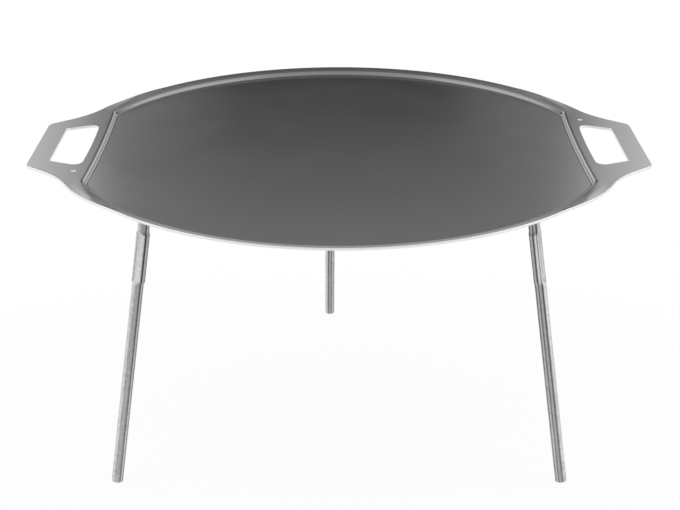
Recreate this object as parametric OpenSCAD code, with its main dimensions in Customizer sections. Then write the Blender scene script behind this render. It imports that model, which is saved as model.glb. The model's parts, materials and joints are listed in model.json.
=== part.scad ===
// Camp griddle plate: a round pressed steel plate with two handle tabs,
// standing on three tube legs that slip over spigots under the plate.
// Millimetres, +Z up. The origin is on the ground under the middle of the plate,
// and the handle tabs lie along X.

/* [Plate] */
// Diameter of the round plate over its rim
plate_d = 580; // [480:5:700]
// Thickness of the sheet steel
sheet_t = 2.5; // [2:0.25:3.5]
// Inside radius of the pressed bends
bend_r = 2.5; // [1.5:0.25:3]
// Width of the raised rim outside the cooking recess
rim_w = 11; // [9:0.5:16]
// Height of the rim's edge above the handle tabs
rim_rise = 2.2; // [1:0.1:3]
// Depth of the cooking recess below the handle tabs
recess_depth = 3.9; // [3.6:0.1:8]
// Slope of the recess wall in degrees
wall_angle = 50; // [45:1:60]
// Distance from the rim in to the middle of the long recess wall before each handle
chord_inset = 37.5; // [30:0.5:45]
// Radius of the slight inward bow of the long recess walls
chord_r = 2900; // [1200:50:4000]
// Radius of the recess's four corners, in plan
recess_corner_r = 18; // [10:1:24]
// Stretch along X over which the raised edge comes down to the handle tab
fade_w = 30; // [20:1:45]
// How far past the long recess wall the raised edge has come down
fade_past = 9; // [5:0.5:12]

/* [Handle tabs] */
// How far each tab reaches out past the round rim
tab_reach = 30; // [22:1:45]
// Straight length of a tab's outer edge, between its rounded corners
tab_edge_len = 124; // [90:2:140]
// Radius of a tab's outer corners
tab_corner_r = 13; // [8:1:20]
// Radius of the hollow between a tab's straight side and its outer corner
root_r = 130; // [80:10:260]
// Angle by which that hollow turns the straight side, in degrees
root_lean = 1.8; // [1:0.1:3]
// Width of the bar that the hand closes on
grip_w = 22; // [16:0.5:28]
// Width of the hand hole along X
hand_w = 34; // [28:0.5:37]
// Length of the hand hole along its outer side
hand_len_outer = 105; // [80:1:112]
// Length of the hand hole along its inner side
hand_len_inner = 136; // [114:1:142]
// How far the hand hole's inner side bows towards the plate
hand_bow = 1.2; // [0:0.1:2]
// Corner radius at the outer side of the hand hole
hand_r_outer = 3; // [2:0.5:6]
// Corner radius at the inner side of the hand hole
hand_r_inner = 8; // [4:0.5:12]
// Diameter of the small pilot hole in each tab
pilot_d = 4.5; // [3:0.25:6]
// Distance from a tab's outer edge in to its pilot hole
pilot_inset = 51.5; // [45:0.5:55]
// Distance from the X axis to a pilot hole
pilot_y = 84; // [80:1:90]

/* [Legs] */
// Outer diameter of the leg tube
leg_d = 12; // [10:0.5:16]
// Wall of the leg tube
leg_wall = 1.1; // [0.8:0.1:1.6]
// Length of a leg tube
leg_len = 323; // [250:1:400]
// Angle that the legs lean outward, in degrees
splay = 9.3; // [5:0.1:14]
// Distance from the rim in to the middle of a front spigot's root
spigot_inset_front = 70.5; // [55:0.5:90]
// Distance from the rim in to the middle of the rear spigot's root
spigot_inset_rear = 59; // [55:0.5:90]
// Direction of the front left leg, in degrees from +X
azimuth_front_left = 210; // [200:0.5:220]
// Direction of the front right leg, in degrees from +X
azimuth_front_right = 330; // [320:0.5:340]
// Direction of the rear leg, in degrees from +X
azimuth_rear = 92.5; // [85:0.5:95]
// Turn of the front left leg about its own axis, in degrees
turn_front_left = 70; // [-90:5:90]
// Turn of the front right leg about its own axis, in degrees
turn_front_right = -80; // [-90:5:90]
// Turn of the rear leg about its own axis, in degrees
turn_rear = 0; // [-90:5:90]

/* [Pressed waist of a leg] */
// Length of the pressed waist, ramps included
waist_len = 57; // [40:1:80]
// Thickness of the waist across its flats
waist_t = 6.5; // [5:0.25:9]
// Width of the waist, where the pressed tube bulges
waist_w = 15; // [13:0.25:18]
// Length of the ramp at each end of the waist
waist_ramp = 4; // [2.5:0.5:8]

/* [Spigots] */
// Length of a spigot below the plate, along its axis
spigot_len = 47; // [35:0.5:60]
// Radial clearance of a leg tube on its spigot
spigot_clearance = 0.08; // [0.02:0.01:0.1]
// Gap left between a spigot's end and the waist that stops it
seat_gap = 0.3; // [0.2:0.05:0.6]
// Height and spread of the weld fillet round a spigot's root
weld = 2.5; // [1.5:0.25:4]
// Gap between the weld fillet and the top end of a leg
leg_top_gap = 2; // [1.5:0.25:4]
// Chamfer on a spigot's free end
spigot_chamfer = 0.8; // [0.4:0.1:1.2]

/* [Hidden] */
$fn = 96;

plate_r = plate_d / 2;
// Heights in the plate are counted from the top of the handle tabs
floor_h = -recess_depth;
chord_x = plate_r - chord_inset;
chord_axis_x = chord_x + chord_r;
rim_slope = atan(rim_rise / rim_w);
fade_end = chord_x + fade_past;
fade_slope = atan(rim_rise / fade_w);
tab_x = plate_r + tab_reach;
hand_x_outer = tab_x - grip_w;
hand_x_inner = hand_x_outer - hand_w;
// Reach and depth of the blocks that the sheet is cut from
far = tab_x + tab_corner_r;
block_h = recess_depth + 2 * sheet_t + far * tan(fade_slope);
// Straight steps that stand for an arc
bend_steps = 6;
corner_steps = 10;
root_steps = 16;
// How far inside the rim a tab's outline starts
rim_bite = 0.3;

leg_r = leg_d / 2;
leg_bore_r = leg_r - leg_wall;
spigot_r = leg_bore_r - spigot_clearance;
// Along a leg's axis, counted down from the underside of the plate
waist_start = spigot_len + seat_gap;
leg_tilt_drop = leg_r * tan(splay);
leg_start = weld + leg_tilt_drop + leg_top_gap;
leg_end = leg_start + leg_len;
under_z = leg_end * cos(splay) + leg_r * sin(splay);
tab_z = under_z + recess_depth + sheet_t;

steel_plate = [0.33, 0.33, 0.34];
steel_zinc = [0.74, 0.75, 0.76];
steel_stud = [0.52, 0.52, 0.53];

function unit(v) = v / norm(v);

// Points along an arc, in equal steps
function arc(middle, r, from, to, steps) =
    [for (i = [0 : steps])
        let(a = from + (to - from) * i / steps)
        middle + r * [cos(a), sin(a)]];

// The arc that rounds corner b of a convex outline running a, b, c to the left
function round_corner(a, b, c, r) =
    let(p = unit(a - b), q = unit(c - b), half = acos(p * q) / 2,
        from = atan2(p[0], -p[1]))
    arc(b + unit(p + q) * r / sin(half), r, from, from + 180 - 2 * half, corner_steps);

// Section of everything that lies under the sheet's upper face, moved down square to the
// sheet by depth. The recess wall meets the land outside it at land_x, and the land rises
// outward at land_slope.
module under_sheet(land_x, land_slope, depth) {
    outer_r = bend_r + sheet_t;
    to_land = [-sin(land_slope), cos(land_slope)];
    along_land = [cos(land_slope), sin(land_slope)];
    brow = [land_x, 0];
    foot = [land_x - recess_depth / tan(wall_angle), floor_h];
    brow_mid = brow + along_land * outer_r * tan((wall_angle - land_slope) / 2) - to_land * outer_r;
    foot_mid = foot + [-bend_r * tan(wall_angle / 2), bend_r];
    brow_r = outer_r - depth;
    foot_r = bend_r + depth;
    land_start = brow_mid + to_land * brow_r;
    polygon([
        [0, -block_h],
        [0, floor_h - depth],
        each arc(foot_mid, foot_r, -90, wall_angle - 90, bend_steps),
        each arc(brow_mid, brow_r, wall_angle + 90, land_slope + 90, bend_steps),
        [far, land_start[1] + (far - land_start[0]) * tan(land_slope)],
        [far, -block_h]
    ]);
}

// The round recess with its raised rim, which comes down towards the tabs
module under_round(depth) {
    fade_top = fade_end * tan(fade_slope) - depth / cos(fade_slope);
    fade_low = fade_top - far * tan(fade_slope);
    intersection() {
        rotate_extrude() under_sheet(plate_r - rim_w, rim_slope, depth);
        rotate([90, 0, 0])
            linear_extrude(2 * far, center = true)
                polygon([
                    [-far, -block_h], [-far, fade_low], [0, fade_top], [far, fade_low], [far, -block_h]
                ]);
    }
}

// The long recess walls before the handles, with the level tabs outside them
module under_tabs(depth) {
    for (turn = [0, 180])
        rotate(turn)
            translate([chord_axis_x, 0])
                rotate_extrude()
                    translate([chord_axis_x, 0]) mirror([1, 0]) under_sheet(chord_x, 0, depth);
}

// The rounded corners where the long walls meet the round one
module under_corners(depth) {
    reach = plate_r - rim_w - recess_corner_r;
    chord_reach = chord_r + recess_corner_r;
    azimuth = acos((chord_axis_x ^ 2 + reach ^ 2 - chord_reach ^ 2) / (2 * chord_axis_x * reach));
    middle = reach * [cos(azimuth), sin(azimuth)];
    to_chord = unit([chord_axis_x, 0] - middle);
    // Reach of the wedge that keeps only a corner's own part of the turned form
    wedge = 2 * recess_corner_r;
    for (side = [0, 1], turn = [0, 180])
        rotate(turn)
            mirror([0, side, 0])
                translate(middle)
                    intersection() {
                        rotate_extrude() under_sheet(recess_corner_r, 0, depth);
                        linear_extrude(3 * block_h, center = true)
                            polygon([[0, 0], wedge * to_chord, wedge * unit(middle)]);
                    }
}

module under_plate(depth) {
    under_round(depth);
    under_tabs(depth);
    under_corners(depth);
}

// One tab's outline: straight outer edge, round corners, a short hollow beside each corner
// and a straight side that runs on from the rim
module tab_outline() {
    corner = [tab_x - tab_corner_r, tab_edge_len / 2];
    common_tangent = atan2(corner[1], corner[0]) + acos((plate_r - tab_corner_r) / norm(corner));
    rim_azimuth = common_tangent - root_lean;
    outward = [cos(rim_azimuth), sin(rim_azimuth)];
    along_side = [sin(rim_azimuth), -cos(rim_azimuth)];
    corner_reach = root_r + tab_corner_r;
    root_stand = plate_r + root_r - corner * outward;
    side_len = corner * along_side - sqrt(corner_reach ^ 2 - root_stand ^ 2);
    root = (plate_r + root_r) * outward + side_len * along_side;
    to_corner = corner - root;
    corner_azimuth = atan2(to_corner[1], to_corner[0]);
    // The side of the tab starts a little inside the rim and crosses it
    half = concat(
        [(plate_r - rim_bite) * outward],
        arc(root, root_r, rim_azimuth - 180, corner_azimuth, root_steps),
        arc(corner, tab_corner_r, corner_azimuth + 180, 0, corner_steps));
    polygon(concat(half, [for (i = [len(half) - 1 : -1 : 0]) [half[i][0], -half[i][1]]]));
}

// Hand hole: longer along the plate than along the outer bar
module hand_hole() {
    corners = [
        [hand_x_inner, -hand_len_inner / 2],
        [hand_x_outer, -hand_len_outer / 2],
        [hand_x_outer, hand_len_outer / 2],
        [hand_x_inner, hand_len_inner / 2]
    ];
    radii = [hand_r_inner, hand_r_outer, hand_r_outer, hand_r_inner];
    rounded = [for (i = [0 : 3])
        each round_corner(corners[(i + 3) % 4], corners[i], corners[(i + 1) % 4], radii[i])];
    bow_half = hand_len_inner / 2 - hand_r_inner;
    bow = [for (i = [1 : corner_steps - 1])
        let(share = 1 - 2 * i / corner_steps)
        [hand_x_inner - hand_bow * (1 - share ^ 2), bow_half * share]];
    polygon(concat(rounded, bow));
}

// The blank's outline as a tall block, with the hand holes and pilot holes through it
module blank() {
    difference() {
        union() {
            cylinder(r = plate_r, h = 2 * block_h, center = true);
            for (turn = [0, 180])
                rotate(turn) linear_extrude(2 * block_h, center = true) tab_outline();
        }
        for (turn = [0, 180])
            rotate(turn) {
                linear_extrude(3 * block_h, center = true) hand_hole();
                translate([tab_x - pilot_inset, pilot_y])
                    cylinder(d = pilot_d, h = 3 * block_h, center = true);
            }
    }
}

module griddle_plate() {
    color(steel_plate)
        translate([0, 0, tab_z])
            intersection() {
                difference() {
                    under_plate(0);
                    under_plate(sheet_t);
                }
                blank();
            }
}

// Puts a leg's own axis, counted down along Z from the underside of the plate, in place
module at_leg(azimuth, inset) {
    translate([0, 0, under_z])
        rotate([0, 0, azimuth])
            translate([plate_r - inset, 0, 0])
                rotate([0, 180 - splay, 0])
                    children();
}

// A round stud with a chamfered free end and a hollow weld fillet at its root
module spigot(azimuth, inset) {
    over = leg_d;
    color(steel_stud)
        intersection() {
            at_leg(azimuth, inset)
                rotate_extrude()
                    difference() {
                        polygon([
                            [0, -over],
                            [spigot_r + weld, -over],
                            [spigot_r + weld, 0],
                            [spigot_r, weld],
                            [spigot_r, spigot_len - spigot_chamfer],
                            [spigot_r - spigot_chamfer, spigot_len],
                            [0, spigot_len]
                        ]);
                        translate([spigot_r + weld, weld]) circle(r = weld);
                    }
            translate([-plate_r, -plate_r, 0]) cube([plate_d, plate_d, under_z]);
        }
}

// A leg's outside, or its inside when inset is the tube's wall: a turned form whose waist
// bulges, pressed flat on two sides
module leg_form(inset, top, bottom) {
    tube_r = leg_r - inset;
    bulge_r = waist_w / 2 - inset;
    flat = waist_t / 2 - inset;
    z0 = waist_start;
    z1 = waist_start + waist_ramp;
    z2 = waist_start + waist_len - waist_ramp;
    z3 = waist_start + waist_len;
    // The ramps of the flats run on past the bulge
    over = (leg_d - flat) / (tube_r - flat) * waist_ramp;
    difference() {
        rotate_extrude()
            polygon([
                [0, top], [tube_r, top], [tube_r, z0], [bulge_r, z1],
                [bulge_r, z2], [tube_r, z3], [tube_r, bottom], [0, bottom]
            ]);
        for (side = [0, 180])
            rotate([90, 0, 90 + side])
                linear_extrude(2 * leg_d, center = true)
                    polygon([[flat, z1], [leg_d, z1 - over], [leg_d, z2 + over], [flat, z2]]);
    }
}

// A leg tube, open at both ends, with its pressed waist turned about the tube's axis
module leg(azimuth, inset, turn) {
    color(steel_zinc)
        at_leg(azimuth, inset)
            rotate([0, 0, turn])
                difference() {
                    leg_form(0, leg_start, leg_end);
                    leg_form(leg_wall, leg_start - leg_wall, leg_end + leg_wall);
                }
}

module spigot_front_left() { spigot(azimuth_front_left, spigot_inset_front); }
module spigot_front_right() { spigot(azimuth_front_right, spigot_inset_front); }
module spigot_rear() { spigot(azimuth_rear, spigot_inset_rear); }
module leg_front_left() { leg(azimuth_front_left, spigot_inset_front, turn_front_left); }
module leg_front_right() { leg(azimuth_front_right, spigot_inset_front, turn_front_right); }
module leg_rear() { leg(azimuth_rear, spigot_inset_rear, turn_rear); }

griddle_plate();
spigot_front_left();
spigot_front_right();
spigot_rear();
leg_front_left();
leg_front_right();
leg_rear();
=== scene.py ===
"""Looks of the camp griddle plate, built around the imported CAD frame.

The pressed sheet, the tube legs and the welded spigots are remade as fine meshes in the places
that the frame gives, and each gets the finish of the real metal. Sizes are in millimetres, with
the names that the part's source uses, and become metres when a mesh is made.
"""

import json
import logging
import math
from collections.abc import Mapping, Sequence
from dataclasses import dataclass
from enum import Enum, IntEnum
from typing import ClassVar

import bpy
import numpy as np
from mathutils import Matrix, Vector
from mathutils.geometry import delaunay_2d_cdt
from mathutils.kdtree import KDTree


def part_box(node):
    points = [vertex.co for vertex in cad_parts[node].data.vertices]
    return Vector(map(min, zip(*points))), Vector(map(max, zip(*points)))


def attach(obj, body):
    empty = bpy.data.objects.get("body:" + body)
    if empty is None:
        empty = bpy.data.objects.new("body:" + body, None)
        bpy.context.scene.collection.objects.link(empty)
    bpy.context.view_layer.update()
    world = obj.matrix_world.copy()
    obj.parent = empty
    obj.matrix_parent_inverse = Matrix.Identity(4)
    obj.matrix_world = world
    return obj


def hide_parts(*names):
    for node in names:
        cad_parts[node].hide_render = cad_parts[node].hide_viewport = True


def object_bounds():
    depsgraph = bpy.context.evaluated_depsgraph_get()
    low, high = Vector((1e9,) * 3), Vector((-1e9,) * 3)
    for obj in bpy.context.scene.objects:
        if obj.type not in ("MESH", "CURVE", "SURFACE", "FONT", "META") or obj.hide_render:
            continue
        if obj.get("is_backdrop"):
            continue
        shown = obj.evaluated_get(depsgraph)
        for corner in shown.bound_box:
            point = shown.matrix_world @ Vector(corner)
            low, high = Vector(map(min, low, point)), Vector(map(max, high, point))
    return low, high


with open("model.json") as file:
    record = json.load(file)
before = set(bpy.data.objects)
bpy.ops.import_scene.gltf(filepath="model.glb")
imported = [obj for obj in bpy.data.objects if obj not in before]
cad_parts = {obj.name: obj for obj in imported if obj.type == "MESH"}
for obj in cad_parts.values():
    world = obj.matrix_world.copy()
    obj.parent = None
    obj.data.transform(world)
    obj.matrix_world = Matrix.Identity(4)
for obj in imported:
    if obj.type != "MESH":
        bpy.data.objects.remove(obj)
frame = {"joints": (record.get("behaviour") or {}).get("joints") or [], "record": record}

LOG = logging.getLogger("griddle")
MM = 0.001
Z_AXIS = Vector((0.0, 0.0, 1.0))
# Shortest length that a vector is divided by
TINY = 1e-12
# Points of the sheet's plan that lie closer than this, in millimetres, become one
MERGE_MM = 1e-5
# Nearly all values of a noise texture lie between these two
NOISE_SPAN = (0.3, 0.7)

# The photograph's frame, in pixels, and the film width that Blender's lens is written for
PHOTO_WIDTH = 680
FILM_WIDTH_MM = 36.0


class Slot(Enum):
    """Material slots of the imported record."""

    PLATE = "plate_steel"
    STUD = "stud_steel"
    LEG = "leg_steel"


class Body(Enum):
    """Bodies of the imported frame."""

    PLATE = "plate"
    FRONT_LEFT = "leg_front_left"
    FRONT_RIGHT = "leg_front_right"
    REAR = "leg_rear"


class Band(IntEnum):
    """Places of the pressed sheet's two materials."""

    FACE = 0
    EDGE = 1


def linear(code: str) -> tuple[float, float, float, float]:
    """Turn an sRGB hex colour into linear light.

    Args:
        code: Colour as "#rrggbb".

    Returns:
        Linear red, green and blue, and an alpha of one.
    """
    shares = [int(code[i:i + 2], 16) / 255 for i in (1, 3, 5)]
    light = [s / 12.92 if s <= 0.04045 else ((s + 0.055) / 1.055) ** 2.4 for s in shares]
    return light[0], light[1], light[2], 1.0


def add_node(tree: bpy.types.NodeTree, kind: str, settings: Mapping[str, object] | None = None,
             inputs: Mapping[str | int, object] | None = None) -> bpy.types.Node:
    """Add a node with its settings and links.

    Args:
        tree: Node tree that the node goes into.
        kind: Blender's name of the node type.
        settings: Values of the node's own properties.
        inputs: For each input socket, by name or place, a value or the output that feeds it.

    Returns:
        The new node.
    """
    made = tree.nodes.new(kind)
    for name, value in (settings or {}).items():
        setattr(made, name, value)
    for key, value in (inputs or {}).items():
        if isinstance(value, bpy.types.NodeSocket):
            tree.links.new(value, made.inputs[key])
        else:
            made.inputs[key].default_value = value
    return made


def new_material(name: str) -> tuple[bpy.types.Material, bpy.types.NodeTree, bpy.types.Node]:
    """Start a node material.

    Args:
        name: Name of the material.

    Returns:
        The material, its empty node tree and its output node.
    """
    material = bpy.data.materials.new(name)
    material.use_nodes = True
    tree = material.node_tree
    tree.nodes.clear()
    return material, tree, add_node(tree, "ShaderNodeOutputMaterial")


def smooth_step(low: float, high: float, value: np.ndarray) -> np.ndarray:
    """Ease from 0 at low to 1 at high."""
    t = np.clip((value - low) / (high - low), 0.0, 1.0)
    return t * t * (3.0 - 2.0 * t)


def turned(angles: np.ndarray) -> np.ndarray:
    """Unit vectors in the plane at the given angles, one a row."""
    return np.stack([np.cos(angles), np.sin(angles)], axis=-1)


def inside(points: np.ndarray, loop: np.ndarray) -> np.ndarray:
    """Tell which points lie inside a closed outline.

    Args:
        points: Points in the plane, one a row.
        loop: The outline's corners in order.

    Returns:
        A truth value for each point.
    """
    found = np.zeros(len(points), dtype=bool)
    for (x0, y0), (x1, y1) in zip(loop, np.roll(loop, -1, axis=0)):
        spans = (y0 > points[:, 1]) != (y1 > points[:, 1])
        if y0 != y1:
            found ^= spans & (points[:, 0] < x0 + (x1 - x0) * (points[:, 1] - y0) / (y1 - y0))
    return found


def spaced(loop: np.ndarray, step: float, fewest: int = 12) -> np.ndarray:
    """Share out points evenly along a closed outline.

    Args:
        loop: The outline's corners in order.
        step: Wanted distance between neighbours.
        fewest: Least number of points.

    Returns:
        The new corners in the same order.
    """
    closed = np.vstack([loop, loop[:1]])
    along = np.concatenate([[0.0], np.cumsum(np.linalg.norm(np.diff(closed, axis=0), axis=1))])
    wanted = np.linspace(0.0, along[-1], max(fewest, round(along[-1] / step)), endpoint=False)
    return np.stack([np.interp(wanted, along, closed[:, i]) for i in (0, 1)], axis=-1)


def outward(loop: np.ndarray) -> np.ndarray:
    """Find the normals that point out of a closed outline.

    Args:
        loop: The outline's corners in order, to the left.

    Returns:
        A unit normal for each corner.
    """
    ahead = np.roll(loop, -1, axis=0) - np.roll(loop, 1, axis=0)
    normals = np.stack([ahead[:, 1], -ahead[:, 0]], axis=-1)
    return normals / np.linalg.norm(normals, axis=1, keepdims=True)


def round_corner(before: np.ndarray, corner: np.ndarray, after: np.ndarray, radius: float,
                 steps: int = 14) -> np.ndarray:
    """Round one corner of a convex outline that runs to the left.

    Args:
        before: The corner before this one.
        corner: The corner that is rounded.
        after: The corner after it.
        radius: Radius of the rounding.
        steps: Straight steps that stand for the arc.

    Returns:
        Points of the arc in order.
    """
    to_before = (before - corner) / np.linalg.norm(before - corner)
    to_after = (after - corner) / np.linalg.norm(after - corner)
    half = math.acos(float(to_before @ to_after)) / 2
    bisector = (to_before + to_after) / np.linalg.norm(to_before + to_after)
    start = math.atan2(to_before[0], -to_before[1])
    angles = np.linspace(start, start + math.pi - 2 * half, steps + 1)
    return corner + bisector * radius / math.sin(half) + radius * turned(angles)


def mesh_piece(name: str, points: np.ndarray, faces: Sequence[Sequence[int]], normals: np.ndarray,
               materials: Sequence[bpy.types.Material], bands: Sequence[int] | None = None,
               place: Matrix | None = None) -> bpy.types.Object:
    """Make a smooth piece from points in millimetres.

    Args:
        name: Name of the piece.
        points: Points in millimetres, one a row.
        faces: Point numbers of each face.
        normals: Unit normal of each point.
        materials: Materials of the piece.
        bands: Material number of each face, or none where there is one material.
        place: Where the piece stands, or none where its points are in the frame already.

    Returns:
        The new object.
    """
    mesh = bpy.data.meshes.new(name)
    mesh.from_pydata((points * MM).tolist(), [], [list(map(int, face)) for face in faces])
    for material in materials:
        mesh.materials.append(material)
    if bands is not None:
        mesh.polygons.foreach_set("material_index", list(bands))
    mesh.polygons.foreach_set("use_smooth", [True] * len(mesh.polygons))
    mesh.normals_split_custom_set_from_vertices(normals.tolist())
    mesh.update()
    piece = bpy.data.objects.new(name, mesh)
    if place is not None:
        piece.matrix_world = place
    bpy.context.scene.collection.objects.link(piece)
    LOG.info("%s: %d faces", name, len(mesh.polygons))
    return piece


def stacked(angles: np.ndarray, rings: Sequence[tuple[float | np.ndarray, np.ndarray]]) -> np.ndarray:
    """Points of rings round the Z axis.

    Args:
        angles: Directions round the axis.
        rings: For each ring, its place along the axis and its distance from it in each direction.

    Returns:
        The points of one ring after another, one a row.
    """
    return np.vstack([np.column_stack([turned(angles) * away[:, None], np.broadcast_to(along, len(angles))])
                      for along, away in rings])


def ring_faces(here: np.ndarray, there: np.ndarray) -> list[list[int]]:
    """Four-sided faces between two closed rings of point numbers."""
    return np.column_stack([here, np.roll(here, -1), np.roll(there, -1), there]).tolist()


def smooth_normals(points: np.ndarray, faces: Sequence[Sequence[int]]) -> np.ndarray:
    """Work out the unit normals at the points from the faces round each.

    Args:
        points: Points of a mesh, one a row.
        faces: Point numbers of each four-sided face, turning to the left seen from outside.

    Returns:
        One normal a row.
    """
    corners = np.array(faces)
    across = points[corners[:, 2]] - points[corners[:, 0]]
    other = points[corners[:, 3]] - points[corners[:, 1]]
    raw = np.cross(across, other)
    raw /= np.maximum(np.linalg.norm(raw, axis=1, keepdims=True), TINY)
    total = np.zeros_like(points)
    for i in range(corners.shape[1]):
        np.add.at(total, corners[:, i], raw)
    return total / np.maximum(np.linalg.norm(total, axis=1, keepdims=True), TINY)


@dataclass(frozen=True)
class RolledSteel:
    """Hot-rolled mild steel sheet, pressed and lightly oiled.

    The mill scale leaves it dark and satin: it mirrors only broad light and shade, with a faint
    cloudiness a few centimetres wide and a fine tooth that softens every reflection.
    """

    dark: str = "#7d7d7e"
    light: str = "#858586"
    roughness: float = 0.18
    roughness_spread: float = 0.01
    cloud_mm: float = 60.0
    # The real tooth is finer than a pixel, so it is drawn at about the size of one
    tooth_mm: float = 1.2
    tooth_depth_mm: float = 0.0015
    tooth_strength: float = 0.5

    def build(self) -> bpy.types.Material:
        """Make the material.

        Returns:
            The new material.
        """
        material, tree, output = new_material("hot_rolled_steel_oiled")
        place = add_node(tree, "ShaderNodeTexCoord").outputs["Object"]
        cloud = add_node(tree, "ShaderNodeTexNoise", None, {
            "Vector": place, "Scale": 1 / (self.cloud_mm * MM), "Detail": 5.0, "Roughness": 0.6})
        tooth = add_node(tree, "ShaderNodeTexNoise", None, {
            "Vector": place, "Scale": 1 / (self.tooth_mm * MM), "Detail": 2.0})
        colour = add_node(tree, "ShaderNodeMix", {"data_type": "RGBA"}, {
            0: cloud.outputs["Fac"], 6: linear(self.dark), 7: linear(self.light)})
        roughness = add_node(tree, "ShaderNodeMapRange", None, {
            "Value": cloud.outputs["Fac"], "From Min": NOISE_SPAN[0], "From Max": NOISE_SPAN[1],
            "To Min": self.roughness - self.roughness_spread,
            "To Max": self.roughness + self.roughness_spread})
        bump = add_node(tree, "ShaderNodeBump", None, {
            "Strength": self.tooth_strength, "Distance": self.tooth_depth_mm * MM,
            "Height": tooth.outputs["Fac"]})
        shader = add_node(tree, "ShaderNodeBsdfPrincipled", None, {
            "Base Color": colour.outputs[2], "Metallic": 1.0,
            "Roughness": roughness.outputs["Result"], "Normal": bump.outputs["Normal"]})
        tree.links.new(shader.outputs["BSDF"], output.inputs["Surface"])
        return material


@dataclass(frozen=True)
class ShearedSteel:
    """The cut edge of the sheet: bare bright steel with fine drag lines across its thickness."""

    dark: str = "#dfe0e0"
    light: str = "#f5f5f5"
    roughness: float = 0.36
    # The real drag lines are finer than a pixel, so they are drawn about one and a half pixels wide
    line_mm: float = 1.6
    # How far the pattern shrinks across the thickness, which draws it out into lines
    stretch: float = 0.12

    def build(self) -> bpy.types.Material:
        """Make the material.

        Returns:
            The new material.
        """
        material, tree, output = new_material("mild_steel_sheared")
        place = add_node(tree, "ShaderNodeTexCoord").outputs["Object"]
        drawn = add_node(tree, "ShaderNodeMapping", None, {
            "Vector": place, "Scale": (1.0, 1.0, self.stretch)})
        lines = add_node(tree, "ShaderNodeTexNoise", None, {
            "Vector": drawn.outputs["Vector"], "Scale": 1 / (self.line_mm * MM), "Detail": 3.0})
        colour = add_node(tree, "ShaderNodeMix", {"data_type": "RGBA"}, {
            0: lines.outputs["Fac"], 6: linear(self.dark), 7: linear(self.light)})
        shader = add_node(tree, "ShaderNodeBsdfPrincipled", None, {
            "Base Color": colour.outputs[2], "Metallic": 1.0, "Roughness": self.roughness})
        tree.links.new(shader.outputs["BSDF"], output.inputs["Surface"])
        return material


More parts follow.
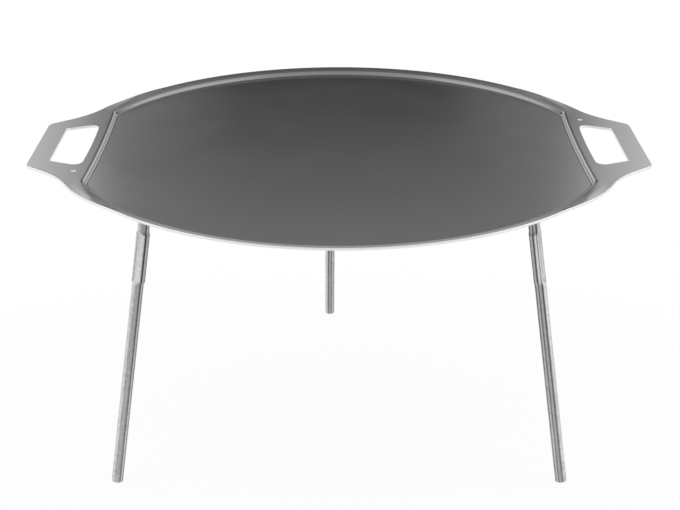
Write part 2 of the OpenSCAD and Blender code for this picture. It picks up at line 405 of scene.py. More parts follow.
@dataclass(frozen=True)
class ZincTube:
    """Drawn steel tube with bright zinc plating.

    Drawing leaves long fine streaks down the tube, and the plating adds soft patches where it is duller.
    A few dark lengthwise bands at set angles round the tube are painted reflection: dark reflections
    painted into the colour, fading towards the foot.
    """

    dark: str = "#808284"
    light: str = "#eeefef"
    # Colour of the painted reflection: dark bands that stand for dark reflections down the tube
    line: str = "#2a2b2d"
    roughness: float = 0.5
    roughness_spread: float = 0.05
    anisotropic: float = 0.85
    # A quarter turn lays the drawn-out highlights along the tube
    anisotropic_turn: float = 0.25
    # The real draw streaks are finer than a pixel, so they are drawn about two pixels wide
    streak_mm: float = 2.0
    streak_stretch: float = 0.012
    streak_depth_mm: float = 0.02
    streak_strength: float = 0.35
    patch_mm: float = 4.5
    # How much streaks and patches lighten the plating, and the level that they start from
    streak_share: float = 0.75
    patch_share: float = 0.85
    plating_level: float = -0.25
    # Painted reflection: dark bands painted into the colour, each with its place round the tube and half
    # width in degrees, and how far it darkens
    reflection_bands: tuple[tuple[float, float, float], ...] = (
        (-118.0, 8.0, 0.4), (-52.0, 14.0, 0.9), (-15.0, 12.0, 0.8), (19.0, 14.0, 0.95), (142.0, 9.0, 0.45))
    # The painted reflection bands fade towards the foot, between these places along the leg, down to the
    # share below
    reflection_fade_mm: tuple[float, float] = (110.0, 280.0)
    reflection_faded: float = 0.65

    def build(self) -> bpy.types.Material:
        """Make the material.

        Returns:
            The new material.
        """
        material, tree, output = new_material("steel_tube_zinc_plated")
        place = add_node(tree, "ShaderNodeTexCoord").outputs["Object"]
        drawn = add_node(tree, "ShaderNodeMapping", None, {
            "Vector": place, "Scale": (1.0, 1.0, self.streak_stretch)})
        streak = add_node(tree, "ShaderNodeTexNoise", None, {
            "Vector": drawn.outputs["Vector"], "Scale": 1 / (self.streak_mm * MM), "Detail": 3.0})
        patch = add_node(tree, "ShaderNodeTexNoise", None, {
            "Vector": place, "Scale": 1 / (self.patch_mm * MM), "Detail": 4.0, "Roughness": 0.6})
        streaked = add_node(tree, "ShaderNodeMath", {"operation": "MULTIPLY_ADD"}, {
            0: streak.outputs["Fac"], 1: self.streak_share, 2: self.plating_level})
        lightness = add_node(tree, "ShaderNodeMath", {"operation": "MULTIPLY_ADD", "use_clamp": True}, {
            0: patch.outputs["Fac"], 1: self.patch_share, 2: streaked.outputs["Value"]})
        plated = add_node(tree, "ShaderNodeMix", {"data_type": "RGBA"}, {
            0: lightness.outputs["Value"], 6: linear(self.dark), 7: linear(self.light)})
        # Painted reflection: the dark bands are mixed into the plating's colour by the angle round the tube
        colour = add_node(tree, "ShaderNodeMix", {"data_type": "RGBA"}, {
            0: self.lines(tree, place), 6: plated.outputs[2], 7: linear(self.line)})
        roughness = add_node(tree, "ShaderNodeMapRange", None, {
            "Value": patch.outputs["Fac"], "From Min": NOISE_SPAN[0], "From Max": NOISE_SPAN[1],
            "To Min": self.roughness - self.roughness_spread,
            "To Max": self.roughness + self.roughness_spread})
        bump = add_node(tree, "ShaderNodeBump", None, {
            "Strength": self.streak_strength, "Distance": self.streak_depth_mm * MM,
            "Height": streak.outputs["Fac"]})
        around = add_node(tree, "ShaderNodeTangent", {"direction_type": "RADIAL", "axis": "Z"})
        shader = add_node(tree, "ShaderNodeBsdfPrincipled", None, {
            "Base Color": colour.outputs[2], "Metallic": 1.0,
            "Roughness": roughness.outputs["Result"], "Normal": bump.outputs["Normal"],
            "Anisotropic": self.anisotropic, "Anisotropic Rotation": self.anisotropic_turn,
            "Tangent": around.outputs["Tangent"]})
        tree.links.new(shader.outputs["BSDF"], output.inputs["Surface"])
        return material

    def lines(self, tree: bpy.types.NodeTree, place: bpy.types.NodeSocket) -> bpy.types.NodeSocket:
        """Paint the dark reflection bands into the colour by the angle round the tube.

        Args:
            tree: Node tree that the nodes go into.
            place: The leg's own coordinates.

        Returns:
            How far the painted reflection darkens the tube, from 0 to 1.
        """
        parts = add_node(tree, "ShaderNodeSeparateXYZ", None, {"Vector": place})
        angle = add_node(tree, "ShaderNodeMath", {"operation": "ARCTAN2"}, {
            0: parts.outputs["Y"], 1: parts.outputs["X"]})
        share = add_node(tree, "ShaderNodeMapRange", None, {
            "Value": angle.outputs["Value"], "From Min": -math.pi, "From Max": math.pi})
        ramp = add_node(tree, "ShaderNodeValToRGB", None, {"Fac": share.outputs["Result"]})
        ramp.color_ramp.interpolation = "EASE"
        stops = ramp.color_ramp.elements
        stops[1].color = (0.0, 0.0, 0.0, 1.0)
        for middle, half, depth in self.reflection_bands:
            for shift, shade in ((-half, 0.0), (0.0, depth), (half, 0.0)):
                stop = stops.new(0.5 + (middle + shift) / 360)
                stop.color = (shade, shade, shade, 1.0)
        # The painted reflection bands fade towards the foot
        kept = add_node(tree, "ShaderNodeMapRange", None, {
            "Value": parts.outputs["Z"], "From Min": self.reflection_fade_mm[0] * MM,
            "From Max": self.reflection_fade_mm[1] * MM, "To Min": 1.0, "To Max": self.reflection_faded})
        return add_node(tree, "ShaderNodeMath", {"operation": "MULTIPLY"}, {
            0: ramp.outputs["Color"], 1: kept.outputs["Result"]}).outputs["Value"]


@dataclass(frozen=True)
class DrawnBar:
    """Bare drawn steel bar with a darker, heat-tinted weld at its root."""

    bar: str = "#a3a4a6"
    weld: str = "#5b5550"
    roughness: float = 0.36
    scuff_mm: float = 2.5
    # How much smoother and rougher the scuffs make the bar
    scuff_smooth: float = 0.08
    scuff_rough: float = 0.12
    # Distances from the plate between which the heat tint fades
    tint_mm: tuple[float, float] = (2.7, 9.0)

    def build(self) -> bpy.types.Material:
        """Make the material.

        Returns:
            The new material.
        """
        material, tree, output = new_material("steel_bar_drawn_and_welded")
        place = add_node(tree, "ShaderNodeTexCoord").outputs["Object"]
        along = add_node(tree, "ShaderNodeSeparateXYZ", None, {"Vector": place})
        scuff = add_node(tree, "ShaderNodeTexNoise", None, {
            "Vector": place, "Scale": 1 / (self.scuff_mm * MM), "Detail": 4.0})
        tint = add_node(tree, "ShaderNodeMapRange", {"interpolation_type": "SMOOTHSTEP"}, {
            "Value": along.outputs["Z"], "From Min": self.tint_mm[0] * MM,
            "From Max": self.tint_mm[1] * MM})
        colour = add_node(tree, "ShaderNodeMix", {"data_type": "RGBA"}, {
            0: tint.outputs["Result"], 6: linear(self.weld), 7: linear(self.bar)})
        roughness = add_node(tree, "ShaderNodeMapRange", None, {
            "Value": scuff.outputs["Fac"], "From Min": NOISE_SPAN[0], "From Max": NOISE_SPAN[1],
            "To Min": self.roughness - self.scuff_smooth,
            "To Max": self.roughness + self.scuff_rough})
        shader = add_node(tree, "ShaderNodeBsdfPrincipled", None, {
            "Base Color": colour.outputs[2], "Metallic": 1.0,
            "Roughness": roughness.outputs["Result"]})
        tree.links.new(shader.outputs["BSDF"], output.inputs["Surface"])
        return material


@dataclass
class GriddlePlate:
    """The pressed round sheet with its cooking recess, raised rim and two handle tabs."""

    plate_r: float = 290.0
    sheet_t: float = 2.5
    bend_r: float = 2.5
    rim_w: float = 11.0
    rim_rise: float = 2.2
    recess_depth: float = 3.9
    wall_angle: float = math.radians(50.0)
    chord_inset: float = 37.5
    chord_r: float = 2900.0
    recess_corner_r: float = 18.0
    fade_w: float = 30.0
    fade_past: float = 9.0
    tab_reach: float = 30.0
    tab_edge_len: float = 124.0
    tab_corner_r: float = 13.0
    root_r: float = 130.0
    root_lean: float = math.radians(1.8)
    grip_w: float = 22.0
    hand_w: float = 34.0
    hand_len_outer: float = 105.0
    hand_len_inner: float = 136.0
    hand_r_outer: float = 3.0
    hand_r_inner: float = 8.0
    hand_bow: float = 1.2
    pilot_d: float = 4.5
    pilot_inset: float = 51.5
    pilot_y: float = 84.0
    # Radius that shearing and brushing leave on the sheet's cut edges
    edge_r: float = 0.4
    # Soft swell of the outline where a tab leaves the rim, and the hollow beside it: place across
    # the plate, half width, and how far out the outline moves
    root_swell: tuple[float, float, float] = (244.0, 40.0, 4.2)
    root_hollow: tuple[float, float, float] = (284.0, 26.0, -3.0)
    # How gently the rim starts to rise, and how much earlier and later it dies away into a tab
    rim_soft: float = 4.5
    fade_lead: float = 20.0
    fade_trail: float = 4.0
    # Length past the brow's bend over which the under face turns from square to straight below
    straight_over: float = 3.0
    # Spacing of the mesh: along the cuts and the recess rows, and of the loose points between
    outline_step: float = 2.5
    hand_step: float = 1.5
    row_step: float = 3.0
    floor_pitch: float = 14.0
    flange_pitch: float = 5.0
    # Share of the pitch by which loose points keep clear of the rows
    clear_share: float = 0.45
    # Rows round the recess: in each bend, on the floor before the foot and on the flange past the brow
    foot_rows: int = 6
    brow_rows: int = 8
    floor_row: float = 2.0
    flange_rows: tuple[float, float] = (1.2, 3.0)
    # Straight steps that stand for each curve
    corner_steps: int = 14
    rim_steps: int = 400
    root_steps: int = 40
    tip_steps: int = 20
    bow_steps: int = 30
    pilot_steps: int = 28
    # Turns, in degrees, at which a rounded cut edge gets a ring
    edge_turns: tuple[float, ...] = (30.0, 60.0, 90.0)

    node: ClassVar[str] = "griddle_plate"

    def __post_init__(self) -> None:
        """Work out the places that the sizes give."""
        self.under_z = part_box(self.node)[0].z / MM
        self.tab_z = self.under_z + self.sheet_t + self.recess_depth
        self.recess_r = self.plate_r - self.rim_w
        self.chord_x = self.plate_r - self.chord_inset
        self.chord_axis_x = self.chord_x + self.chord_r
        self.fade_end = self.chord_x + self.fade_past
        self.tab_x = self.plate_r + self.tab_reach
        reach = self.recess_r - self.recess_corner_r
        swing = math.acos((self.chord_axis_x ** 2 + reach ** 2 - (self.chord_r + self.recess_corner_r) ** 2)
                          / (2 * self.chord_axis_x * reach))
        self.corner_mid = reach * turned(np.array(swing))
        to_chord = np.array([self.chord_axis_x, 0.0]) - self.corner_mid
        self.corner_from = math.atan2(to_chord[1], to_chord[0])
        self.corner_to = swing
        self.tip_mid = np.array([self.tab_x - self.tab_corner_r, self.tab_edge_len / 2])
        tip_away = float(np.linalg.norm(self.tip_mid))
        tangent = math.acos((self.plate_r - self.tab_corner_r) / tip_away)
        self.rim_azimuth = math.atan2(self.tip_mid[1], self.tip_mid[0]) + tangent - self.root_lean

    def recess_distance(self, points: np.ndarray) -> np.ndarray:
        """Measure how far points lie outside the top of the recess wall.

        Args:
            points: Points in plan, one a row.

        Returns:
            Distances, which are negative inside the recess.
        """
        folded = np.abs(points)
        from_round = np.linalg.norm(folded, axis=1) - self.recess_r
        from_chord = self.chord_r - np.hypot(folded[:, 0] - self.chord_axis_x, folded[:, 1])
        away = folded - self.corner_mid
        angle = np.arctan2(away[:, 1], away[:, 0])
        from_corner = np.linalg.norm(away, axis=1) - self.recess_corner_r
        in_corner = (angle > self.corner_from) & (angle < self.corner_to)
        return np.where(in_corner, from_corner, np.maximum(from_round, from_chord))

    def bends(self) -> tuple[float, float, float, float]:
        """Work out where the two bends of the wall start and end.

        Returns:
            Distances outside the top of the wall: the foot's start and end, then the brow's.
        """
        foot = -self.recess_depth / math.tan(self.wall_angle)
        foot_tangent = self.bend_r * math.tan(self.wall_angle / 2)
        brow_tangent = (self.bend_r + self.sheet_t) * math.tan(self.wall_angle / 2)
        return (foot - foot_tangent, foot + foot_tangent * math.cos(self.wall_angle),
                -brow_tangent * math.cos(self.wall_angle), brow_tangent)

    def height(self, points: np.ndarray) -> np.ndarray:
        """Height of the sheet's upper face above the handle tabs.

        Args:
            points: Points in plan, one a row.

        Returns:
            The heights.
        """
        away = self.recess_distance(points)
        foot_start, foot_end, brow_start, brow_end = self.bends()
        outer_r = self.bend_r + self.sheet_t
        in_foot = np.clip(away - foot_start, 0.0, self.bend_r)
        foot = -self.recess_depth + self.bend_r - np.sqrt(self.bend_r ** 2 - in_foot ** 2)
        in_brow = np.clip(brow_end - away, 0.0, outer_r)
        brow = np.sqrt(outer_r ** 2 - in_brow ** 2) - outer_r
        pressed = np.select(
            [away < foot_start, away < foot_end, away < brow_start, away < brow_end],
            [-self.recess_depth, foot, away * math.tan(self.wall_angle), brow], 0.0)
        out = np.linalg.norm(points, axis=1) - self.recess_r
        soft = self.rim_soft
        climb = np.where(out < soft, np.maximum(out + soft, 0.0) ** 2 / (4 * soft), out)
        climb = np.minimum(climb, self.rim_w) * self.rim_rise / self.rim_w
        fade_from = self.fade_end - self.fade_w - self.fade_lead
        fade = smooth_step(fade_from, self.fade_end + self.fade_trail, np.abs(points[:, 0]))
        return pressed + climb * (1.0 - fade)

    def normals(self, points: np.ndarray) -> np.ndarray:
        """Find the normals of the sheet's upper face.

        Args:
            points: Points in plan, one a row.

        Returns:
            A unit normal for each point.
        """
        step = 0.02
        slopes = [(self.height(points + shift) - self.height(points - shift)) / (2 * step)
                  for shift in (np.array([step, 0.0]), np.array([0.0, step]))]
        raw = np.stack([-slopes[0], -slopes[1], np.ones(len(points))], axis=-1)
        return raw / np.linalg.norm(raw, axis=1, keepdims=True)

    def recess_row(self, away: float) -> np.ndarray:
        """Points of a row that runs round the recess at a set distance from the wall's top.

        Args:
            away: Distance outside the top of the wall.

        Returns:
            The row's points in order, to the left.
        """
        on_chord = self.corner_mid - np.array([self.chord_axis_x, 0.0])
        chord_angle = math.pi - math.atan2(on_chord[1], on_chord[0])
        chord_steps = round(self.chord_r * chord_angle / self.row_step)
        round_steps = 2 * round(self.recess_r * (math.pi / 2 - self.corner_to) / self.row_step)
        bow = np.linspace(math.pi + chord_angle, math.pi - chord_angle, 2 * chord_steps + 1)
        bend = np.linspace(self.corner_from, self.corner_to, self.corner_steps + 1)[1:]
        arc = np.linspace(self.corner_to, math.pi - self.corner_to, round_steps + 1)[1:]
        chord = np.array([self.chord_axis_x, 0.0]) + (self.chord_r - away) * turned(bow)
        corner = self.corner_mid + (self.recess_corner_r + away) * turned(bend)
        top = (self.recess_r + away) * turned(arc)
        far_corner = np.flip(corner, axis=0)[1:] * np.array([-1.0, 1.0])
        half = np.vstack([chord, corner, top, far_corner])
        return np.vstack([half, -half])

    def tab_side(self) -> np.ndarray:
        """Draw the side of the right tab, from the rim to its outer edge.

        Returns:
            The side's points in order.
        """
        out = turned(np.array(self.rim_azimuth))
        along = np.array([out[1], -out[0]])
        stand = self.plate_r + self.root_r - self.tip_mid @ out
        run = self.tip_mid @ along - math.sqrt((self.root_r + self.tab_corner_r) ** 2 - stand ** 2)
        root = (self.plate_r + self.root_r) * out + run * along
        to_tip = self.tip_mid - root
        tip_azimuth = math.atan2(to_tip[1], to_tip[0])
        straight = self.plate_r * out + np.linspace(0.0, run, self.root_steps)[:, None] * along
        swing = np.linspace(self.rim_azimuth - math.pi, tip_azimuth, self.root_steps)
        hollow = root + self.root_r * turned(swing)
        tip_swing = np.linspace(tip_azimuth + math.pi, 0.0, self.tip_steps)
        tip = self.tip_mid + self.tab_corner_r * turned(tip_swing)
        return np.vstack([straight, hollow[1:], tip[1:]])

    def outline(self) -> np.ndarray:
        """Draw the outline of the whole sheet.

        Returns:
            The outline's points in order, to the left.
        """
        side = self.tab_side()
        rim = self.plate_r * turned(np.linspace(self.rim_azimuth, math.pi - self.rim_azimuth, self.rim_steps))
        half = np.vstack([np.flip(side, axis=0), rim[1:-1], side * np.array([-1.0, 1.0])])
        loop = spaced(np.vstack([half, -half]), self.outline_step)
        across = np.abs(loop[:, 0])
        shift = np.zeros(len(loop))
        for middle, half_width, reach in (self.root_swell, self.root_hollow):
            near = np.clip(np.abs(across - middle) / half_width, 0.0, 1.0)
            shift += reach * (1 + np.cos(math.pi * near)) / 2
        return loop + outward(loop) * shift[:, None]

    def hand_hole(self) -> np.ndarray:
        """Draw the outline of the right hand hole.

        Returns:
            The outline's points in order, to the left.
        """
        outer_x = self.tab_x - self.grip_w
        inner_x = outer_x - self.hand_w
        corners = np.array([[inner_x, -self.hand_len_inner / 2], [outer_x, -self.hand_len_outer / 2],
                            [outer_x, self.hand_len_outer / 2], [inner_x, self.hand_len_inner / 2]])
        radii = (self.hand_r_inner, self.hand_r_outer, self.hand_r_outer, self.hand_r_inner)
        arcs = [round_corner(corners[i - 1], corners[i], corners[(i + 1) % 4], radii[i]) for i in range(4)]
        share = np.linspace(1.0, -1.0, self.bow_steps)[1:-1]
        half_len = self.hand_len_inner / 2 - self.hand_r_inner
        bow = np.stack([inner_x - self.hand_bow * (1 - share ** 2), half_len * share], axis=-1)
        return spaced(np.vstack([*arcs, bow]), self.hand_step)

    def pilot_hole(self) -> np.ndarray:
        """Outline of the right tab's pilot hole, to the left."""
        around = np.linspace(0.0, 2 * math.pi, self.pilot_steps, endpoint=False)
        return np.array([self.tab_x - self.pilot_inset, self.pilot_y]) + self.pilot_d / 2 * turned(around)

    def cuts(self) -> list[np.ndarray]:
        """Outlines of the cuts, with the sheet on the left of each: its own first, then the holes'."""
        holes = [hole * side for hole in (self.hand_hole(), self.pilot_hole()) for side in (1.0, -1.0)]
        return [self.outline()] + [np.flip(hole, axis=0) for hole in holes]

    def rows(self) -> list[np.ndarray]:
        """Lay rows of points round the recess, which follow the bends of its wall.

        Returns:
            The points of each row in order.
        """
        foot_start, foot_end, brow_start, brow_end = self.bends()
        places = np.concatenate([
            [foot_start - self.floor_row], np.linspace(foot_start, foot_end, self.foot_rows),
            np.linspace(brow_start, brow_end, self.brow_rows), np.add(brow_end, self.flange_rows)])
        return [self.recess_row(away) for away in places]

    def filling(self, rims: Sequence[np.ndarray], rows: Sequence[np.ndarray]) -> np.ndarray:
        """Loose points that keep the sheet's triangles even between the rows.

        Args:
            rims: Outlines that bound the sheet, its own first and then the holes'.
            rows: Rows that the points keep clear of, as they do of the outlines.

        Returns:
            The points, one a row.
        """
        near = np.vstack([*rims, *rows])
        tree = KDTree(len(near))
        for number, (x, y) in enumerate(near):
            tree.insert((x, y, 0.0), number)
        tree.balance()
        chosen = []
        for pitch, on_floor in ((self.floor_pitch, True), (self.flange_pitch, False)):
            across = np.arange(-self.tab_x, self.tab_x, pitch)
            grid = np.stack(np.meshgrid(across, across * math.sqrt(0.75)), axis=-1)
            grid[1::2, :, 0] += pitch / 2
            points = grid.reshape(-1, 2)
            away = self.recess_distance(points)
            points = points[(away < 0) == on_floor]
            points = points[inside(points, rims[0])]
            for hole in rims[1:]:
                points = points[~inside(points, hole)]
            clear = self.clear_share * pitch
            chosen += [p for p in points if tree.find((p[0], p[1], 0.0))[2] > clear]
        return np.array(chosen)

    def plan(self, rims: list[np.ndarray]) -> tuple[np.ndarray, np.ndarray, list[np.ndarray]]:
        """Fill the sheet with triangles, seen from above.

        Args:
            rims: Outlines that bound the sheet, its own first and then the holes'.

        Returns:
            The points, the point numbers of each triangle, and those along each outline.
        """
        rows = self.rows()
        loops = [*rims, *rows]
        starts = np.cumsum([0] + [len(loop) for loop in loops])
        links = [(first + i, first + (i + 1) % len(loop))
                 for first, loop in zip(starts, loops) for i in range(len(loop))]
        loose = np.vstack([*loops, self.filling(rims, rows)])
        made, _, triangles, came_from, _, _ = delaunay_2d_cdt(
            [Vector(p) for p in loose], links, [], 0, MERGE_MM)
        flat = np.array([(p.x, p.y) for p in made])
        new_number = {old: new for new, olds in enumerate(came_from) for old in olds}
        edges = [np.array([new_number[first + i] for i in range(len(rim))])
                 for first, rim in zip(starts, rims)]
        corners = np.array(triangles)
        middles = flat[corners].mean(axis=1)
        keep = inside(middles, rims[0])
        for hole in rims[1:]:
            keep &= ~inside(middles, hole)
        return flat, corners[keep], edges

    def under_face(self, top: np.ndarray, normals: np.ndarray) -> np.ndarray:
        """Find the sheet's lower face, square below the recess and straight below the flange.

        Args:
            top: Points of the upper face.
            normals: Unit normals there.

        Returns:
            The matching points of the lower face.
        """
        brow_end = self.bends()[-1]
        straight = smooth_step(brow_end, brow_end + self.straight_over, self.recess_distance(top[:, :2]))
        under = top - self.sheet_t * normals
        slope = np.hypot(normals[:, 0], normals[:, 1]) / normals[:, 2]
        under[:, :2] += (self.sheet_t * straight)[:, None] * normals[:, :2]
        under[:, 2] -= self.sheet_t * straight * slope ** 2 * normals[:, 2]
        return under

    def edge_rings(self, top: np.ndarray, under: np.ndarray, normals: np.ndarray,
                   out: np.ndarray) -> list[tuple[np.ndarray, np.ndarray]]:
        """Round one cut edge, from the upper face down to the lower one.

        Args:
            top: Points of the upper face along the cut.
            under: The same points on the lower face.
            normals: Unit normals of the upper face there.
            out: Unit vectors in plan that point out of the sheet.

        Returns:
            For each ring, its points and their unit normals.
        """
        rings = []
        turns = np.radians(self.edge_turns)
        for face, up, angles in ((top, 1.0, turns), (under, -1.0, turns[::-1])):
            for angle in angles:
                sunk = np.full(len(out), -up * self.edge_r * (1 - math.cos(angle)))
                place = face + np.column_stack([out * self.edge_r * math.sin(angle), sunk])
                lean = np.column_stack([out * math.sin(angle), np.zeros(len(out))])
                facing = lean + normals * math.cos(angle) * up
                rings.append((place, facing / np.linalg.norm(facing, axis=1, keepdims=True)))
        return rings

    def build(self, sheet: bpy.types.Material, edge: bpy.types.Material) -> bpy.types.Object:
        """Make the sheet's mesh.

        Args:
            sheet: Finish of the two faces.
            edge: Finish of the cut edges.

        Returns:
            The new piece.
        """
        cuts = self.cuts()
        outs = [outward(cut) for cut in cuts]
        flat, corners, edges = self.plan([cut - out * self.edge_r for cut, out in zip(cuts, outs)])
        normals = self.normals(flat)
        top = np.column_stack([flat, self.height(flat)])
        under = self.under_face(top, normals)
        points = [top, under]
        point_normals = [normals, -normals]
        faces = corners.tolist() + np.flip(corners + len(flat), axis=1).tolist()
        bands = [Band.FACE.value] * len(faces)
        count = 2 * len(flat)
        for upper, out in zip(edges, outs):
            rings = [upper]
            for place, facing in self.edge_rings(top[upper], under[upper], normals[upper], out):
                points.append(place)
                point_normals.append(facing)
                rings.append(np.arange(count, count + len(out)))
                count += len(out)
            rings.append(upper + len(flat))
            for above, below in zip(rings, rings[1:]):
                faces += np.column_stack([above, below, np.roll(below, -1), np.roll(above, -1)]).tolist()
            bands += [Band.EDGE.value] * (len(out) * (len(rings) - 1))
        lifted = np.vstack(points) + np.array([0.0, 0.0, self.tab_z])
        piece = mesh_piece("pressed_sheet", lifted, faces, np.vstack(point_normals), [sheet, edge], bands)
        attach(piece, Body.PLATE.value)
        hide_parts(self.node)
        return piece


@dataclass
class LegPlace:
    """Where one leg and its spigot stand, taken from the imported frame."""

    body: Body
    joint: str
    mount: str
    turn: float

    def axis(self) -> Vector:
        """Direction down the leg."""
        joint = next(j for j in frame["joints"] if j["name"] == self.joint)
        return Vector(joint["axis"]).normalized()

    def matrix(self) -> Matrix:
        """Find the place of the leg's own axes.

        Returns:
            The place, with Z down the leg from the underside of the plate.
        """
        down = self.axis()
        mount = next(m for m in frame["record"]["mounts"] if m["name"] == self.mount)
        middle = Vector(mount["pos_m"])
        under_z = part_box(GriddlePlate.node)[0].z
        root = middle + down * ((under_z - middle.z) / down.z)
        side = Z_AXIS.cross(down).normalized()
        ahead = side.cross(down)
        turned_axes = Matrix((ahead, side, down)).transposed() @ Matrix.Rotation(self.turn, 3, "Z")
        return Matrix.Translation(root) @ turned_axes.to_4x4()


@dataclass
class TubeLeg:
    """A straight open tube with a pressed waist that stops on the spigot's end."""

    place: LegPlace
    leg_r: float = 6.0
    leg_wall: float = 1.1
    # Starts of the tube and of its waist, along the leg from the underside of the plate
    leg_start: float = 5.483
    leg_len: float = 323.0
    waist_start: float = 47.3
    waist_len: float = 57.0
    waist_t: float = 6.5
    waist_w: float = 15.0
    waist_ramp: float = 4.0
    # How far the width eases past the ramp's ends, as a share of the ramp, how far outside the tube
    # the flats come in from, and how square the waist's cross-section is
    ramp_ease: float = 0.1
    flat_lead: float = 0.4
    squareness: float = 16.0
    edge_r: float = 0.3
    around: int = 96
    # Rings on the collar above the waist, on each of its ends, along it and down to the foot, and
    # the room between the close rings and the others
    collar_rings: int = 6
    ramp_rings: int = 22
    waist_rings: int = 8
    shank_rings: int = 24
    ring_gap: float = 2.0

    def radius(self, along: float, angles: np.ndarray, inset: float) -> np.ndarray:
        """Distance from the tube's axis to its skin.

        Args:
            along: Place along the leg.
            angles: Directions round the leg.
            inset: Zero for the outside, or the tube's wall for the bore.

        Returns:
            A distance for each direction.
        """
        start, end = self.waist_start, self.waist_start + self.waist_len
        into = min(along - start, end - along) / self.waist_ramp
        pressed = float(smooth_step(-self.ramp_ease, 1.0 + self.ramp_ease, np.array(into)))
        bulge = self.leg_r + (self.waist_w / 2 - self.leg_r) * pressed - inset
        if pressed == 0.0:
            return np.full(len(angles), bulge)
        lead_r = self.leg_r + self.flat_lead
        flat = lead_r + (self.waist_t / 2 - lead_r) * min(max(into, -1.0), 1.0) - inset
        across = np.abs(np.sin(angles)) / flat
        return (bulge ** -self.squareness + across ** self.squareness) ** (-1.0 / self.squareness)

    def stations(self) -> np.ndarray:
        """Choose the places at which the skin gets a ring.

        Returns:
            Distances along the leg from the underside of the plate.
        """
        start, end = self.waist_start, self.waist_start + self.waist_len
        foot = self.leg_start + self.leg_len
        gap = self.ring_gap
        inner = self.waist_ramp + 2 * gap
        ramp = np.linspace(-gap / 2, self.waist_ramp + gap, self.ramp_rings)
        collar = np.linspace(self.leg_start + self.edge_r, start - gap, self.collar_rings)
        waist = np.linspace(start + inner, end - inner, self.waist_rings)
        shank = np.linspace(end + gap, foot - self.edge_r, self.shank_rings)
        return np.concatenate([collar, start + ramp, waist, end - ramp[::-1], shank])

    def build(self, finish: bpy.types.Material) -> bpy.types.Object:
        """Make the leg's mesh.

        Args:
            finish: Finish of the tube.

        Returns:
            The new piece.
        """
        angles = np.linspace(0.0, 2 * math.pi, self.around, endpoint=False)
        stations = self.stations()
        foot = self.leg_start + self.leg_len
        skin = [(s, self.radius(s, angles, 0.0)) for s in stations]
        bore = [(s, self.radius(s, angles, self.leg_wall)) for s in stations[::-1]]
        end_ring = [(foot, self.radius(foot, angles, self.edge_r)),
                    (foot, self.radius(foot, angles, self.leg_wall - self.edge_r))]
        top_ring = [(self.leg_start, ring) for _, ring in reversed(end_ring)]
        rings = skin + end_ring + bore + top_ring
        points = stacked(angles, rings)
        turn = np.arange(self.around)
        faces = []
        for i in range(len(rings)):
            here = i * self.around + turn
            there = (i + 1) % len(rings) * self.around + turn
            faces += ring_faces(here, there)
        piece = mesh_piece(f"{self.place.body.value}_tube", points, faces, smooth_normals(points, faces),
                           [finish], None, self.place.matrix())
        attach(piece, self.place.body.value)
        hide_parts(self.place.body.value)
        return piece


@dataclass
class Spigot:
    """A round stud with a chamfered end, welded to the underside of the plate."""

    place: LegPlace
    spigot_r: float = 4.82
    spigot_len: float = 47.0
    spigot_chamfer: float = 0.8
    weld: float = 2.5
    # Power that hollows the bead's slope, its ripples, and how early they die out towards its end
    bead_hollow: float = 1.4
    ripples: int = 26
    ripple: float = 0.22
    ripple_haste: float = 1.15
    around: int = 156
    # Rings on the bead and on the bar, with the room between them, and shares of the chamfer
    bead_rings: int = 9
    bar_rings: int = 10
    ring_gap: float = 2.0
    chamfer_shares: tuple[float, ...] = (0.15, 0.5, 0.85, 1.0)
    # Share of the radius at which the end face starts
    end_share: float = 0.4

    def build(self, finish: bpy.types.Material) -> bpy.types.Object:
        """Make the spigot's mesh.

        Args:
            finish: Finish of the stud and its weld.

        Returns:
            The new piece.
        """
        node = self.place.body.value.replace("leg", "spigot")
        matrix = self.place.matrix()
        angles = np.linspace(0.0, 2 * math.pi, self.around, endpoint=False)
        wave = np.abs(np.sin(angles * self.ripples / 2))
        lean = -(np.cos(angles) * matrix[2][0] + np.sin(angles) * matrix[2][1]) / matrix[2][2]
        rings = []
        for share in np.linspace(0.0, 1.0, self.bead_rings):
            bead = self.weld * (1 - share) ** self.bead_hollow
            bulge = self.ripple * wave * math.sin(math.pi * min(1.0, share * self.ripple_haste))
            ring = self.spigot_r + bead + bulge
            rings.append((self.weld * share + lean * ring, ring))
        end = self.spigot_len
        plain = np.full(self.around, self.spigot_r)
        for along in np.linspace(self.weld + self.ring_gap, end - self.spigot_chamfer, self.bar_rings):
            rings.append((along, plain))
        for share in self.chamfer_shares:
            cut = self.spigot_chamfer * share
            rings.append((end - self.spigot_chamfer + cut, plain - cut))
        rings.append((end, plain * self.end_share))
        points = stacked(angles, rings)
        turn = np.arange(self.around)
        faces = []
        for i in range(len(rings) - 1):
            here = i * self.around + turn
            faces += ring_faces(here, here + self.around)
        normals = smooth_normals(points, faces)
        faces.append(turn[::-1].tolist())
        faces.append(((len(rings) - 1) * self.around + turn).tolist())
        piece = mesh_piece(f"{node}_stud", points, faces, normals, [finish], None, matrix)
        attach(piece, Body.PLATE.value)
        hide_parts(node)
        return piece


@dataclass(frozen=True)
class WallSector:
    """One upright strip of the studio's walls, the same on the left and on the right.

    The strip fades in between two turns away from straight behind the plate, in degrees, and has
    one strength of light for each of the wall heights.
    """

    starts: float
    full: float
    light: tuple[float, ...]


# Heights above the horizon, in degrees, at which the walls' light is given
WALL_HEIGHTS = (-6.0, 5.0, 12.0, 14.5, 17.0, 22.0, 28.0, 38.0, 55.0, 90.0)
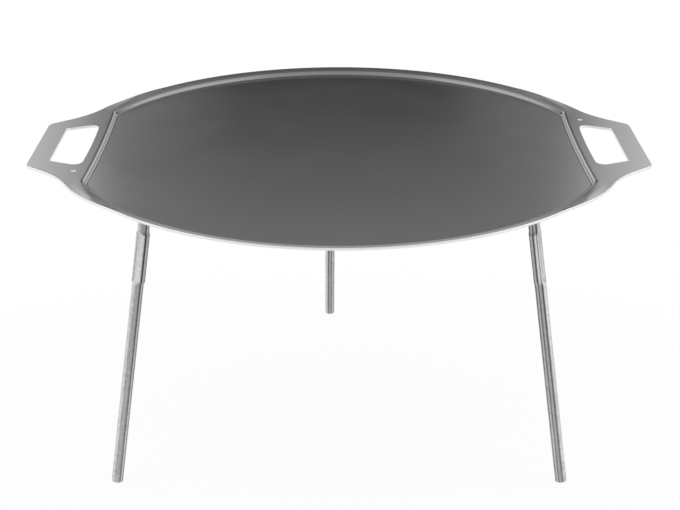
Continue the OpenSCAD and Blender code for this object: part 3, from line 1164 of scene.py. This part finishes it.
# Strength of light that the colour ramps of the walls hold shares of
BRIGHTEST_WALL = 2.5
SURROUND = (
    # Dark gap straight behind, which the cooking floor mirrors
    WallSector(0.0, 0.0, (0.9, 0.9, 0.05, 0.0, 0.02, 0.46, 0.85, 0.22, 0.3, 0.9)),
    # The gap's sides, paler near the ground, which the front of the rim mirrors
    WallSector(4.0, 6.5, (0.95, 0.9, 0.6, 0.3, 0.12, 0.44, 0.85, 0.28, 0.3, 0.9)),
    WallSector(6.0, 8.6, (1.0, 0.95, 0.8, 0.5, 0.18, 0.44, 0.85, 0.35, 0.35, 0.9)),
    # Soft boxes behind on both sides, which the tabs and the long recess walls mirror
    WallSector(9.4, 10.6, (1.3, 0.75, 0.95, 1.0, 1.05, 1.05, 1.05, 0.7, 0.6, 0.9)),
    WallSector(10.2, 15.0, (1.6, 0.75, 1.5, 1.8, 2.05, 2.05, 1.6, 1.1, 0.8, 0.9)),
    # Gaps beside the soft boxes, which part the recess walls at their corners
    WallSector(25.0, 31.0, (0.6, 0.6, 0.3, 0.25, 0.2, 0.2, 0.4, 1.0, 1.2, 0.9)),
    # Pale walls beside the plate
    WallSector(48.0, 62.0, (1.6, 1.6, 1.7, 1.75, 1.8, 1.8, 1.8, 1.9, 1.7, 1.0)),
    # Gaps between those and the wall behind the camera, dark near the ground for the legs' sake
    WallSector(116.0, 130.0, (0.0, 0.0, 0.2, 0.35, 0.45, 0.5, 0.55, 0.75, 1.1, 1.0)),
    # Dim wall behind the camera
    WallSector(146.0, 158.0, (0.1, 0.1, 0.25, 0.4, 0.5, 0.55, 0.6, 0.75, 1.0, 1.0)),
)


@dataclass
class Studio:
    """White floor, soft studio light and the photograph's camera."""

    floor_size: float = 60.0
    floor_colour: str = "#f4f4f4"
    backdrop: str = "#ffffff"
    # Share of the floor's look that takes the object's shadow
    shadow_share: float = 0.07
    # The camera fitted to the photograph, in metres from the plate's middle and above its rim
    camera_back: float = 1.4879
    camera_up: float = 0.5042
    camera_pitch: float = math.radians(23.094)
    focal_px: float = 1475.5
    centre_px: float = 339.1

    def floor(self) -> None:
        """Lay the floor, white to the eye and in reflections, with a faint shadow."""
        half = self.floor_size / 2
        mesh = bpy.data.meshes.new("studio_floor")
        corners = [(-half, -half, 0), (half, -half, 0), (half, half, 0), (-half, half, 0)]
        mesh.from_pydata(corners, [], [(0, 1, 2, 3)])
        floor = bpy.data.objects.new("studio_floor", mesh)
        bpy.context.scene.collection.objects.link(floor)
        floor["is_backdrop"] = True
        material, tree, output = new_material("studio_paper_white")
        rays = add_node(tree, "ShaderNodeLightPath")
        seen = add_node(tree, "ShaderNodeMath", {"operation": "MAXIMUM"}, {
            0: rays.outputs["Is Camera Ray"], 1: rays.outputs["Is Glossy Ray"]})
        shown = add_node(tree, "ShaderNodeMath", {"operation": "MAXIMUM"}, {
            0: seen.outputs["Value"], 1: rays.outputs["Is Transmission Ray"]})
        share = add_node(tree, "ShaderNodeMath", {"operation": "MULTIPLY"}, {
            0: shown.outputs["Value"], 1: 1.0 - self.shadow_share})
        matt = add_node(tree, "ShaderNodeBsdfDiffuse", None, {"Color": linear(self.floor_colour)})
        white = add_node(tree, "ShaderNodeEmission", None, {"Strength": 1.0})
        mixed = add_node(tree, "ShaderNodeMixShader", None, {
            0: share.outputs["Value"], 1: matt.outputs["BSDF"], 2: white.outputs["Emission"]})
        tree.links.new(mixed.outputs["Shader"], output.inputs["Surface"])
        mesh.materials.append(material)

    def light(self) -> None:
        """Grade the world as a studio's walls, from back to front, behind a plain white backdrop.

        The walls light the object and show in its reflections, and the eye sees the backdrop.
        """
        world = bpy.data.worlds.new("studio")
        bpy.context.scene.world = world
        world.use_nodes = True
        tree = world.node_tree
        tree.nodes.clear()
        output = add_node(tree, "ShaderNodeOutputWorld")
        toward = add_node(tree, "ShaderNodeTexCoord").outputs["Generated"]
        parts = add_node(tree, "ShaderNodeSeparateXYZ", None, {"Vector": toward})
        climb = add_node(tree, "ShaderNodeMapRange", None, {
            "Value": parts.outputs["Z"], "From Min": -1.0, "From Max": 1.0})
        aside = add_node(tree, "ShaderNodeMath", {"operation": "ABSOLUTE"}, {0: parts.outputs["X"]})
        turn = add_node(tree, "ShaderNodeMath", {"operation": "ARCTAN2"}, {
            0: aside.outputs["Value"], 1: parts.outputs["Y"]})
        shown = None
        for sector in SURROUND:
            ramp = add_node(tree, "ShaderNodeValToRGB", None, {"Fac": climb.outputs["Result"]})
            stops = ramp.color_ramp.elements
            places = [(1.0 + math.sin(math.radians(height))) / 2 for height in WALL_HEIGHTS]
            stops[0].position = places[0]
            for place in places[1:-1]:
                stops.new(place)
            for stop, strength in zip(stops, sector.light):
                stop.color = (*[strength / BRIGHTEST_WALL] * 3, 1.0)
            if shown is None:
                shown = ramp.outputs["Color"]
                continue
            edge = add_node(tree, "ShaderNodeMapRange", {"interpolation_type": "SMOOTHSTEP"}, {
                "Value": turn.outputs["Value"], "From Min": math.radians(sector.starts),
                "From Max": math.radians(sector.full)})
            mixed = add_node(tree, "ShaderNodeMix", {"data_type": "RGBA"}, {
                0: edge.outputs["Result"], 6: shown, 7: ramp.outputs["Color"]})
            shown = mixed.outputs[2]
        walls = add_node(tree, "ShaderNodeBackground", None, {"Color": shown, "Strength": BRIGHTEST_WALL})
        paper = add_node(tree, "ShaderNodeBackground", None, {
            "Color": linear(self.backdrop), "Strength": 1.0})
        rays = add_node(tree, "ShaderNodeLightPath")
        seen = add_node(tree, "ShaderNodeMixShader", None, {
            0: rays.outputs["Is Camera Ray"], 1: walls.outputs["Background"], 2: paper.outputs["Background"]})
        tree.links.new(seen.outputs["Shader"], output.inputs["Surface"])

    def camera(self, rim_top: float) -> None:
        """Set the camera at the photograph's place.

        Args:
            rim_top: Height of the plate's rim.
        """
        data = bpy.data.cameras.new("photo_camera")
        data.sensor_width = FILM_WIDTH_MM
        data.lens = self.focal_px / PHOTO_WIDTH * FILM_WIDTH_MM
        data.shift_x = 0.5 - self.centre_px / PHOTO_WIDTH
        camera = bpy.data.objects.new("photo_camera", data)
        camera.location = (0.0, -self.camera_back, rim_top + self.camera_up)
        camera.rotation_euler = (math.pi / 2 - self.camera_pitch, 0.0, 0.0)
        bpy.context.scene.collection.objects.link(camera)
        bpy.context.scene.camera = camera


# The front legs have the turn about their own axis that the photograph shows
LEGS = (
    LegPlace(Body.FRONT_LEFT, "pull_front_left", "foot_front_left", math.radians(70.0)),
    LegPlace(Body.FRONT_RIGHT, "pull_front_right", "foot_front_right", math.radians(-80.0)),
    LegPlace(Body.REAR, "pull_rear", "foot_rear", 0.0),
)


def main() -> None:
    """Build and dress the part, then set the studio round it."""
    logging.basicConfig(level=logging.INFO, format="%(name)s: %(message)s")
    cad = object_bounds()
    plate = GriddlePlate()
    plate.build(RolledSteel().build(), ShearedSteel().build())
    zinc = ZincTube().build()
    bar = DrawnBar().build()
    for place in LEGS:
        TubeLeg(place).build(zinc)
        Spigot(place).build(bar)
    studio = Studio()
    studio.floor()
    studio.light()
    studio.camera(cad[1].z)
    bpy.context.scene.view_settings.view_transform = "Standard"


if __name__ == "__main__":
    main()
